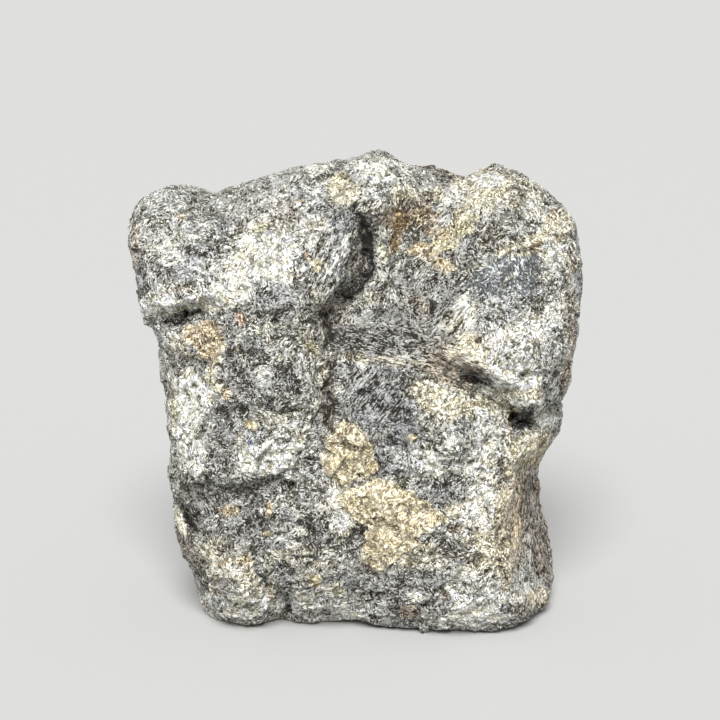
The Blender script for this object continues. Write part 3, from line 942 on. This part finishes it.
def refine_towards_camera(skin):
    """Splits the faces of the skin that the camera sees, but not those at the foot."""
    shape = bmesh.new()
    shape.from_mesh(skin)
    eye = camera_place()
    fine_edges = set()
    for face in shape.faces:
        middle = face.calc_center_median()
        if face.normal.dot((eye - middle).normalized()) > FINE_FACING and middle.z > FINE_ABOVE:
            fine_edges.update(face.edges)
    bmesh.ops.subdivide_edges(shape, edges=list(fine_edges), cuts=1, use_grid_fill=True, smooth=0.0)
    bmesh.ops.triangulate(shape, faces=[face for face in shape.faces if len(face.verts) > 4])
    shape.to_mesh(skin)
    shape.free()


def press_relief(skin, settings):
    """Gives the skin its broken surface: chips, fibres, plates, cracks, veins and pits."""
    noise.seed_set(CHIP_SEED)
    skin.place_points(relaxed(skin.points, skin.edges, settings.smoothing))
    points = skin.points

    smoothness = skin.smoothness()
    heights = chips(points, BROAD_CHIPS)
    fine = chips(points, FINE_CHIPS)
    for _, x, z, wide, tall, turn, way, relief in FIBRES:
        far = ellipse(skin.x, skin.z, x, z, wide, tall, turn)
        weight = skin.seen * ramp(far, *FIBRE_RELIEF_EDGE)
        chosen = weight > 0.0
        long_chips = relief * chips(drawn_out(points[chosen], way, CHIP_STRETCH), FIBRE_CHIPS)
        heights[chosen] += weight[chosen] * (long_chips - LOST_UNDER_FIBRES * heights[chosen])
        fine[chosen] *= 1.0 - weight[chosen]
    heights += fine + waves(points, ROUGHNESS_WAVES)
    heights *= settings.chip_relief * (1.0 - LOST_ON_CLEAVAGE_FACE * smoothness)
    heights *= UNSEEN_RELIEF + (1.0 - UNSEEN_RELIEF) * skin.seen

    ragged_x, ragged_z = skin.ragged_place()
    for _, rise, outline in PLATES.values():
        depth_in = inside(ragged_x, ragged_z, outline)
        heights += skin.seen * settings.plate_rise * rise * ramp(depth_in, *PLATE_EDGE)
    for _, width, depth, _, course in CRACKS:
        away, _ = to_course(ragged_x, ragged_z, course)
        heights -= skin.seen * depth * ramp(away / width, *CRACK_EDGE)
    for _, _, width, rise, _, course in VEINS:
        away, _ = to_course(ragged_x, ragged_z, course)
        heights += skin.seen * rise * ramp(away / width, *VEIN_EDGE)

    pits = ramp(field(points, PIT_SIZE, PIT_SEED), *PIT_EDGE)
    heights -= PIT_DEPTH * pits * (1.0 - smoothness)
    skin.lift(heights)


def wild_minerals(points):
    """The mineral of every place before the patches of the face are painted: colour and contrast."""
    bends = [field(points, WILD_BEND_SIZE, seed) for seed in WILD_BEND_SEEDS]
    bent = points + WILD_BEND * np.stack(bends, axis=1)
    shares = np.cumsum([share for _, share in WILD_FINISHES])
    table = np.array([(*FINISHES[name][0], FINISHES[name][1]) for name, _ in WILD_FINISHES])
    minerals = np.zeros((len(points), 4))
    for size, seed, weight in WILD_GRAINS:
        middles = [noise.voronoi(Vector(place))[1][0] for place in bent / size + seed]
        draws = np.array([noise.cell(middle * GRAIN_SHUFFLE) for middle in middles]) * 0.5 + 0.5
        minerals += weight * table[np.searchsorted(shares, np.clip(draws, 0.0, 0.999) * shares[-1])]
    return minerals


def blend_in(minerals, finish, weight):
    colour, contrast, _ = FINISHES[finish]
    minerals += weight[:, None] * (np.array([*colour, contrast]) - minerals)


def paint_skin(skin):
    """Colour and contrast of every point: lays each mineral on the skin, then shades what lies deep."""
    minerals = relaxed(wild_minerals(skin.points), skin.edges, 1)
    blend_in(minerals, "grey", FACE_GREY * skin.seen)
    ragged_x, ragged_z = skin.ragged_place()
    shake_x, shake_z = [waves(skin.points, layers) for layers in PATCH_SHAKES]
    broken = waves(skin.points, BREAKING_WAVES)
    for _, finish, x, z, wide, tall, turn, strength in PATCHES:
        half_edge = FINISHES[finish][2] / 2
        shake = min(1.0, SHAKE_PER_SIZE * min(wide, tall))
        far = ellipse(skin.x + shake * shake_x, skin.z + shake * shake_z, x, z, wide, tall, turn)
        near = ramp(far - PATCH_BREAKING * broken, 1.0 + half_edge, 1.0 - half_edge)
        blend_in(minerals, finish, skin.seen * strength * near)
    for finish, _, outline in PLATES.values():
        depth_in = inside(ragged_x, ragged_z, outline)
        blend_in(minerals, finish, skin.seen * PLATE_COVER * ramp(depth_in, *PLATE_EDGE))
    for _, width, _, darkness, course in CRACKS:
        away, _ = to_course(ragged_x, ragged_z, course)
        near = ramp(away / (CRACK_SOOT_WIDTH * width) - broken, *CRACK_SOOT_EDGE)
        blend_in(minerals, "soot", skin.seen * darkness * near)
    for _, finish, width, _, strength, course in VEINS:
        away, _ = to_course(ragged_x, ragged_z, course)
        near = ramp(away / width - VEIN_BREAKING * broken, *VEIN_PAINT_EDGE)
        blend_in(minerals, finish, skin.seen * strength * near)

    shade = np.zeros(len(skin.points))
    for rounds, full_depth in HOLLOWS:
        raised = skin.points - relaxed(skin.points, skin.edges, rounds)
        shade += np.clip(np.einsum("ij,ij->i", raised, skin.normals) / full_depth, -1.0, 1.0)
    minerals[:, :3] *= np.exp(np.outer(np.clip(shade, DEEPEST, PROUDEST), FADING))
    minerals[:, :3] = np.clip(minerals[:, :3], *COLOUR_RANGE)
    return minerals


def fibre_places(skin):
    """Where the strokes of the fibrous grounds are drawn, in mm, and how fibrous each point is."""
    places = np.zeros((len(skin.points), 3))
    fibrous = np.zeros(len(skin.points))
    for _, x, z, wide, tall, turn, way, _ in FIBRES:
        near = ramp(ellipse(skin.x, skin.z, x, z, wide, tall, turn), *FIBRE_STROKE_EDGE)
        chosen = near > fibrous
        middle = np.array((x, FACE_Y, z))
        long_places = drawn_out(skin.points[chosen] - middle, way, FIBRE_STRETCH)
        places[chosen] = middle + FIBRE_FINENESS * long_places
        fibrous[chosen] = near[chosen]
    return places, fibrous * skin.seen


def write_attributes(mesh, minerals, places, fibrous):
    colours = np.ones((len(minerals), 4))
    colours[:, :3] = minerals[:, :3]
    for group, name, kind, key, values in (
        (mesh.color_attributes, "mineral", "FLOAT_COLOR", "color", colours),
        (mesh.attributes, "contrast", "FLOAT", "value", minerals[:, 3]),
        (mesh.attributes, "fibre", "FLOAT", "value", fibrous),
        (mesh.attributes, "fibre_place", "FLOAT_VECTOR", "vector", places),
    ):
        attribute = group.new(name, kind, "POINT")
        attribute.data.foreach_set(key, values.astype(np.float32).ravel())


class Nodes:
    """Builds a node tree: each call adds one node, links or sets its inputs, and returns an output."""

    def __init__(self, tree):
        self.tree = tree

    def add(self, kind, output=0, settings=None, **inputs):
        """Inputs are given by name, or as i0, i1 and so on by number."""
        node = self.tree.nodes.new(kind)
        for name, value in (settings or {}).items():
            setattr(node, name, value)
        for name, value in inputs.items():
            numbered = name[0] == "i" and name[1:].isdigit()
            socket = node.inputs[int(name[1:]) if numbered else name]
            if isinstance(value, bpy.types.NodeSocket):
                self.tree.links.new(value, socket)
            else:
                socket.default_value = value
        return node.outputs[output]

    def attribute(self, name, output):
        return self.add("ShaderNodeAttribute", output, {"attribute_name": name})

    def maths(self, operation, first, second=0.0, third=0.0):
        return self.add("ShaderNodeMath", 0, {"operation": operation}, i0=first, i1=second, i2=third)

    def vector(self, operation, first, second):
        return self.add("ShaderNodeVectorMath", 0, {"operation": operation}, i0=first, i1=second)

    def scaled(self, vector, factor):
        return self.add("ShaderNodeVectorMath", 0, {"operation": "SCALE"}, i0=vector, Scale=factor)

    def ramp(self, value, zero, one):
        """From 0 where the value is `zero` to 1 where it is `one`, smoothly."""
        ends = {"From Min": zero, "From Max": one}
        return self.add("ShaderNodeMapRange", 0, {"interpolation_type": "SMOOTHSTEP"}, Value=value, **ends)

    def mix_places(self, share, first, second):
        return self.add("ShaderNodeMix", 1, {"data_type": "VECTOR"}, i0=share, i4=first, i5=second)

    def mix_colours(self, share, first, second):
        return self.add("ShaderNodeMix", 2, {"data_type": "RGBA"}, i0=share, i6=first, i7=second)

    def cells(self, place, scale):
        """A number from 0 to 1 for each cell."""
        cell = self.add("ShaderNodeTexVoronoi", "Color", Vector=place, Scale=scale)
        return self.add("ShaderNodeSeparateColor", Color=cell)

    def pattern(self, name, place, closeness=1.0, output=0):
        scale, detail, rough, shift = PATTERNS[name]
        return self.add(
            "ShaderNodeTexNoise", output, {"normalize": True}, Vector=self.vector("ADD", place, shift),
            Scale=scale * closeness, Detail=detail, Roughness=rough,
        )

    def grains(self, name, place, closeness=1.0):
        """The pattern as patches: 1 in a patch and 0 outside it."""
        return self.ramp(self.pattern(name, place, closeness), *PATTERN_EDGES[name])

    def hairs(self, name, place, closeness):
        """The pattern as thin winding lines: 1 on the line and 0 off it."""
        wave = self.maths("SUBTRACT", self.pattern(name, place, closeness), 0.5)
        return self.ramp(self.maths("ABSOLUTE", wave), HAIR_WIDTHS[name], 0.0)


def drawn(nodes, place, turn, stretch, shift):
    """The place, laid so that what is drawn on it comes out long, running up to the right."""
    return nodes.add(
        "ShaderNodeMapping", 0, {"vector_type": "TEXTURE"}, Vector=nodes.vector("ADD", place, shift),
        Rotation=(0.0, -radians(turn), 0.0), Scale=(stretch, 1.0, 1.0),
    )


def way_of_strokes(nodes, place, bent):
    """The place that the strokes are drawn on: their way changes from grain to grain."""
    slanted, steep, lying = [drawn(nodes, bent, *way) for way in STROKE_WAYS]
    way = nodes.mix_places(nodes.grains("steep grains", place), slanted, steep)
    way = nodes.mix_places(nodes.grains("lying grains", place), way, lying)
    wavering = nodes.maths("SUBTRACT", nodes.pattern("fibre edge", place), 0.5)
    fibre = nodes.maths("MULTIPLY_ADD", wavering, FIBRE_WAVERING, nodes.attribute("fibre", "Fac"))
    return nodes.mix_places(nodes.ramp(fibre, *FIBROUS), way, nodes.attribute("fibre_place", "Vector"))


def tone_of_surface(nodes, bent, way, per_flake):
    """Minus is towards the dark gaps, plus towards the bright flakes."""
    contrast = nodes.attribute("contrast", "Fac")
    bright_hairs = nodes.maths(
        "MAXIMUM",
        nodes.hairs("bright hairs", way, per_flake),
        nodes.hairs("crossing hairs", bent, per_flake),
    )
    tone = nodes.maths("MULTIPLY", bright_hairs, TONES["bright hairs"])
    dark_hairs = nodes.hairs("dark hairs", way, per_flake)
    tone = nodes.maths("MULTIPLY_ADD", dark_hairs, TONES["dark hairs"], tone)
    clumpiness = nodes.maths("MULTIPLY_ADD", contrast, CLUMPS_PER_CONTRAST, CLUMPS)
    for pattern, strength in (
        (nodes.grains("strokes", way, per_flake), TONES["strokes"]),
        (nodes.pattern("clumps", bent), clumpiness),
        (nodes.pattern("fine strokes", way, per_flake), TONES["fine strokes"]),
        (nodes.cells(bent, GRAINS_PER_MM), TONES["grains"]),
        (nodes.cells(bent, SPECKS_PER_MM), TONES["specks"]),
    ):
        tone = nodes.maths("MULTIPLY_ADD", nodes.maths("SUBTRACT", pattern, 0.5), strength, tone)
    return nodes.maths("MULTIPLY", tone, nodes.maths("MULTIPLY", contrast, OVERALL_CONTRAST))


def stone_material(settings):
    material = bpy.data.materials.new("labradorite")
    material.use_nodes = True
    nodes = Nodes(material.node_tree)
    place = nodes.scaled(nodes.add("ShaderNodeTexCoord", "Object"), 1.0 / MM)
    swirl = nodes.vector("SUBTRACT", nodes.pattern("swirl", place, output=1), (0.5, 0.5, 0.5))
    bent = nodes.vector("ADD", place, nodes.scaled(swirl, SWIRL))
    way = way_of_strokes(nodes, place, bent)
    tone = tone_of_surface(nodes, bent, way, MM / settings.flake_size)

    mineral = nodes.attribute("mineral", "Color")
    tint = nodes.mix_colours(nodes.grains("warmth", bent), COOL_TINT, WARM_TINT)
    tinted = nodes.vector("MULTIPLY", mineral, tint)
    colour = nodes.scaled(tinted, nodes.maths("EXPONENT", nodes.maths("MINIMUM", tone, 1.0)))

    # Strongly coloured minerals keep their colour in their bright flakes, and the black gaps have none
    light = nodes.ramp(tone, 0.0, FLAKE_TONE)
    hue = nodes.add("ShaderNodeSeparateColor", 0, {"mode": "HSV"}, Color=mineral)
    _, saturation, brightness = hue.node.outputs
    cover = nodes.maths("MULTIPLY_ADD", saturation, -STAIN_HOLD, FLAKE_COVER)
    silvering = nodes.maths("MULTIPLY", light, nodes.maths("MAXIMUM", cover, 0.0))
    silvering = nodes.maths("MULTIPLY", silvering, nodes.ramp(brightness, *BLACKNESS))
    colour = nodes.mix_colours(silvering, colour, (*settings.flake_colour, 1.0))
    darkening = nodes.maths("MULTIPLY", nodes.ramp(tone, 0.0, GAP_TONE), GAP_COVER)
    colour = nodes.mix_colours(darkening, colour, (*settings.gap_colour, 1.0))

    gloss = nodes.maths("MULTIPLY", light, FLAKE_GLOSS)
    surface = material.node_tree.nodes["Principled BSDF"]
    for name, value in (
        ("Base Color", colour),
        ("Normal", nodes.add("ShaderNodeBump", Strength=BUMP_STRENGTH, Distance=BUMP_DEPTH, Height=tone)),
        ("Roughness", nodes.maths("SUBTRACT", GAP_ROUGHNESS, gloss)),
    ):
        material.node_tree.links.new(value, surface.inputs[name])
    return material


class LABRADORITE_OT_stone(bpy.types.Operator):
    """Grows the dense skin of the stone, breaks its surface up and paints its minerals"""

    bl_idname = "labradorite.stone"
    bl_label = "Dress the stone"

    def execute(self, context):
        settings = context.scene.stone_settings
        mesh = even_skin_of_solid(settings.skin_spacing)
        refine_towards_camera(mesh)
        skin = Skin(mesh)
        press_relief(skin, settings)
        write_attributes(mesh, paint_skin(skin), *fibre_places(skin))
        mesh.name = "rough_stone"
        mesh.materials.clear()
        mesh.materials.append(stone_material(settings))
        mesh.shade_smooth()
        stone = bpy.data.objects.new("rough_stone", mesh)
        context.scene.collection.objects.link(stone)
        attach(stone, "root")
        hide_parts(STONE_NODE)
        return {"FINISHED"}


def add_floor(context, colour):
    shape = bmesh.new()
    bmesh.ops.create_circle(shape, cap_ends=True, segments=64, radius=FLOOR_RADIUS)
    mesh = bpy.data.meshes.new("studio_floor")
    shape.to_mesh(mesh)
    shape.free()
    material = bpy.data.materials.new("pale_floor")
    material.use_nodes = True
    surface = material.node_tree.nodes["Principled BSDF"]
    surface.inputs["Base Color"].default_value = (*colour, 1.0)
    surface.inputs["Roughness"].default_value = 0.85
    mesh.materials.append(material)
    floor = bpy.data.objects.new("studio_floor", mesh)
    context.scene.collection.objects.link(floor)


def add_key_light(context, power):
    light = bpy.data.lights.new("soft_key", "SUN")
    light.energy = power
    light.angle = KEY_SOFTNESS
    lamp = bpy.data.objects.new("soft_key", light)
    lamp.rotation_euler = KEY_DIRECTION.to_track_quat("-Z", "Y").to_euler()
    context.scene.collection.objects.link(lamp)


def add_room_light(context, power):
    world = bpy.data.worlds.new("studio_room")
    world.use_nodes = True
    background = world.node_tree.nodes["Background"]
    background.inputs["Color"].default_value = (1.0, 1.0, 1.0, 1.0)
    background.inputs["Strength"].default_value = power
    context.scene.world = world


def add_camera(context, lens):
    camera = bpy.data.cameras.new("studio_camera")
    camera.lens = lens
    camera.clip_start = 0.01
    camera.clip_end = 50.0
    holder = bpy.data.objects.new("studio_camera", camera)
    holder.location = camera_place()
    holder.rotation_euler = (AIM - holder.location).to_track_quat("-Z", "Y").to_euler()
    context.scene.collection.objects.link(holder)
    context.scene.camera = holder


class LABRADORITE_OT_studio(bpy.types.Operator):
    """Adds the pale floor, the soft light and the camera"""

    bl_idname = "labradorite.studio"
    bl_label = "Set up the studio"

    def execute(self, context):
        studio = context.scene.studio_settings
        add_floor(context, studio.floor_colour)
        add_key_light(context, studio.key_power)
        add_room_light(context, studio.fill_power)
        add_camera(context, studio.lens)
        context.scene.view_settings.view_transform = "Standard"
        return {"FINISHED"}


class LABRADORITE_PT_panel(bpy.types.Panel):
    """Lists the stone's steps in the sidebar"""

    bl_label = "Rough Labradorite"
    bl_space_type = "VIEW_3D"
    bl_region_type = "UI"
    bl_category = "Labradorite"

    def draw(self, context):
        for settings in (context.scene.stone_settings, context.scene.studio_settings):
            for name in settings.bl_rna.properties.keys():
                if name not in ("name", "rna_type"):
                    self.layout.prop(settings, name)
        self.layout.operator(LABRADORITE_OT_studio.bl_idname)
        self.layout.operator(LABRADORITE_OT_stone.bl_idname)


CLASSES = (
    StoneSettings, StudioSettings, LABRADORITE_OT_studio, LABRADORITE_OT_stone, LABRADORITE_PT_panel,
)


def register():
    for cls in CLASSES:
        bpy.utils.register_class(cls)
    bpy.types.Scene.stone_settings = PointerProperty(type=StoneSettings)
    bpy.types.Scene.studio_settings = PointerProperty(type=StudioSettings)


def unregister():
    del bpy.types.Scene.studio_settings
    del bpy.types.Scene.stone_settings
    for cls in reversed(CLASSES):
        bpy.utils.unregister_class(cls)


def main():
    register()
    bpy.ops.labradorite.studio()
    bpy.ops.labradorite.stone()


if __name__ == "__main__":
    main()
